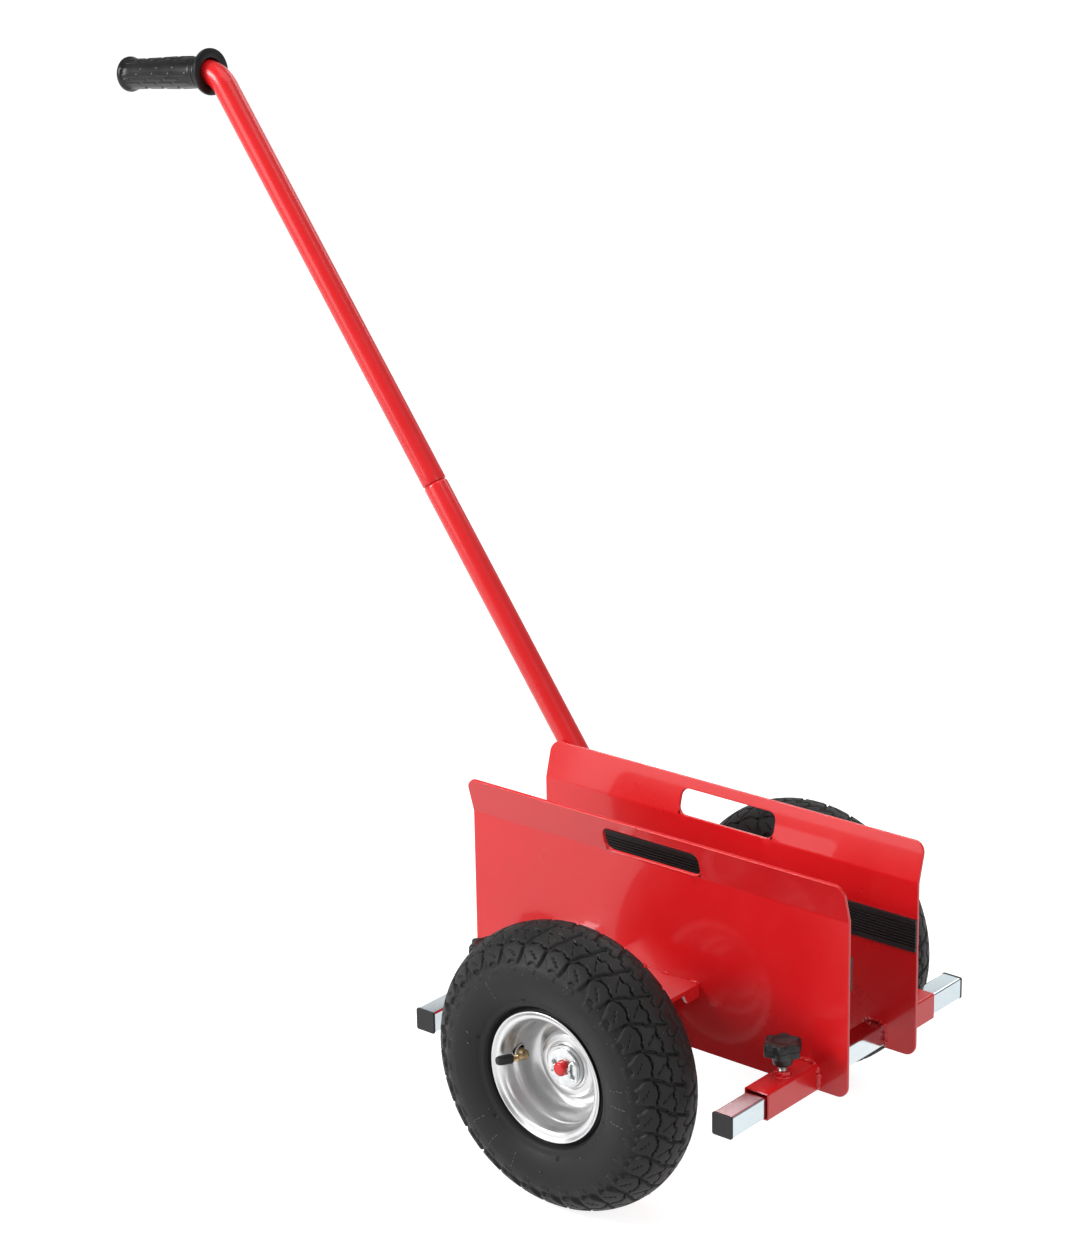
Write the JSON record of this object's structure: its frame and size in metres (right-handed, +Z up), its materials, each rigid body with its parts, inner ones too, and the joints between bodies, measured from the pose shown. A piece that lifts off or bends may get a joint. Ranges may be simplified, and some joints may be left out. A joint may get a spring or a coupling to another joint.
{
  "type": "hand truck",
  "caption": "Hand truck for panels and doors: flared side plates clamped on sliding cross bars between pneumatic wheels, with a leaning two-part steering handle.",
  "frame": {"origin": "on the floor, halfway between the two wheels and under their axles", "axes": "+X front, away from the leaning handle; +Y the side that carries the handle, along the axles; +Z up"},
  "size_m": [0.9589, 0.437, 0.913],
  "materials": {
    "red_paint": "glossy bright red powder coat",
    "zinc_bar": "bright zinc plate, faintly blue",
    "zinc": "bright zinc plate",
    "silver_paint": "satin silver paint",
    "bearing_steel": "ground steel with black seals",
    "brass": "dull brass",
    "tyre_rubber": "moulded black rubber, satin",
    "tube_rubber": "black butyl rubber",
    "ribbed_rubber": "matt black ribbed rubber",
    "grip_rubber": "satin black rubber",
    "black_plastic": "moulded black plastic with a fine grain"
  },
  "bodies": {
    "far_frame": {"far_plate": "red_paint", "far_pad": "ribbed_rubber", "far_front_sleeve": "red_paint", "far_rear_sleeve": "red_paint", "far_weld_nuts": "red_paint", "far_axle_bracket": "red_paint", "far_axle": "red_paint", "far_spacer": "zinc", "far_washers": "zinc", "far_split_pin": "zinc", "handle_socket": "red_paint", "handle_bolt": "zinc", "handle_nut": "zinc", "handle_lower_tube": "red_paint"},
    "front_bar": {"front_bar": "zinc_bar", "front_bar_caps": "black_plastic"},
    "rear_bar": {"rear_bar": "zinc_bar", "rear_bar_caps": "black_plastic"},
    "near_frame": {"near_plate": "red_paint", "near_pad": "ribbed_rubber", "near_front_sleeve": "red_paint", "near_rear_sleeve": "red_paint", "near_weld_nuts": "red_paint", "near_axle_bracket": "red_paint", "near_axle": "red_paint", "near_spacer": "zinc", "near_washers": "zinc", "near_split_pin": "zinc"},
    "upper_handle": {"handle_upper_tube": "red_paint", "handle_grip": "grip_rubber"},
    "far_wheel": {"far_tyre": "tyre_rubber", "far_inner_tube": "tube_rubber", "far_rim": "silver_paint", "far_hub": "silver_paint", "far_bearings": "bearing_steel", "far_valve_stem": "brass", "far_valve_cap": "black_plastic"},
    "near_wheel": {"near_tyre": "tyre_rubber", "near_inner_tube": "tube_rubber", "near_rim": "silver_paint", "near_hub": "silver_paint", "near_bearings": "bearing_steel", "near_valve_stem": "brass", "near_valve_cap": "black_plastic"},
    "far_front_stud": {"far_front_stud": "zinc"},
    "far_front_knob": {"far_front_knob": "black_plastic"},
    "far_rear_stud": {"far_rear_stud": "zinc"},
    "far_rear_knob": {"far_rear_knob": "black_plastic"},
    "near_front_stud": {"near_front_stud": "zinc"},
    "near_front_knob": {"near_front_knob": "black_plastic"},
    "near_rear_stud": {"near_rear_stud": "zinc"},
    "near_rear_knob": {"near_rear_knob": "black_plastic"}
  },
  "joints": [
    {"name": "front_bar_slide", "type": "slide", "parent": "far_frame", "child": "front_bar", "axis": [0, 1, 0], "range_m": [-0.045, 0.045]},
    {"name": "rear_bar_slide", "type": "slide", "parent": "far_frame", "child": "rear_bar", "axis": [0, 1, 0], "range_m": [-0.045, 0.045]},
    {"name": "near_frame_slide", "type": "slide", "parent": "front_bar", "child": "near_frame", "axis": [0, 1, 0], "range_m": [-0.045, 0.045]},
    {"name": "far_wheel_spin", "type": "hinge", "parent": "far_frame", "child": "far_wheel", "pos_m": [0, 0.176, 0.13], "axis": [0, 1, 0], "continuous": true},
    {"name": "near_wheel_spin", "type": "hinge", "parent": "near_frame", "child": "near_wheel", "pos_m": [0, -0.176, 0.13], "axis": [0, 1, 0], "continuous": true},
    {"name": "far_front_stud_rise", "type": "slide", "parent": "far_frame", "child": "far_front_stud", "axis": [0, 0, 1], "range_m": [0, 0.0025]},
    {"name": "far_front_knob_turn", "type": "hinge", "parent": "far_front_stud", "child": "far_front_knob", "pos_m": [0.165, 0.088, 0.155], "axis": [0, 0, 1], "range_deg": [0, 720]},
    {"name": "far_rear_stud_rise", "type": "slide", "parent": "far_frame", "child": "far_rear_stud", "axis": [0, 0, 1], "range_m": [0, 0.0025]},
    {"name": "far_rear_knob_turn", "type": "hinge", "parent": "far_rear_stud", "child": "far_rear_knob", "pos_m": [-0.165, 0.088, 0.155], "axis": [0, 0, 1], "range_deg": [0, 720]},
    {"name": "near_front_stud_rise", "type": "slide", "parent": "near_frame", "child": "near_front_stud", "axis": [0, 0, 1], "range_m": [0, 0.0025]},
    {"name": "near_front_knob_turn", "type": "hinge", "parent": "near_front_stud", "child": "near_front_knob", "pos_m": [0.165, -0.088, 0.155], "axis": [0, 0, 1], "range_deg": [0, 720]},
    {"name": "near_rear_stud_rise", "type": "slide", "parent": "near_frame", "child": "near_rear_stud", "axis": [0, 0, 1], "range_m": [0, 0.0025]},
    {"name": "near_rear_knob_turn", "type": "hinge", "parent": "near_rear_stud", "child": "near_rear_knob", "pos_m": [-0.165, -0.088, 0.155], "axis": [0, 0, 1], "range_deg": [0, 720]},
    {"name": "upper_handle_pull", "type": "slide", "parent": "far_frame", "child": "upper_handle", "axis": [-0.5858, 0, 0.8105], "range_m": [0, 0.08]}
  ],
  "couplings": [
    {"joint": "rear_bar_slide", "follows": "front_bar_slide", "ratio": 1},
    {"joint": "far_front_knob_turn", "follows": "far_front_stud_rise", "rad_per_m": 5026.5},
    {"joint": "far_rear_knob_turn", "follows": "far_rear_stud_rise", "rad_per_m": 5026.5},
    {"joint": "near_front_knob_turn", "follows": "near_front_stud_rise", "rad_per_m": 5026.5},
    {"joint": "near_rear_knob_turn", "follows": "near_rear_stud_rise", "rad_per_m": 5026.5}
  ]
}
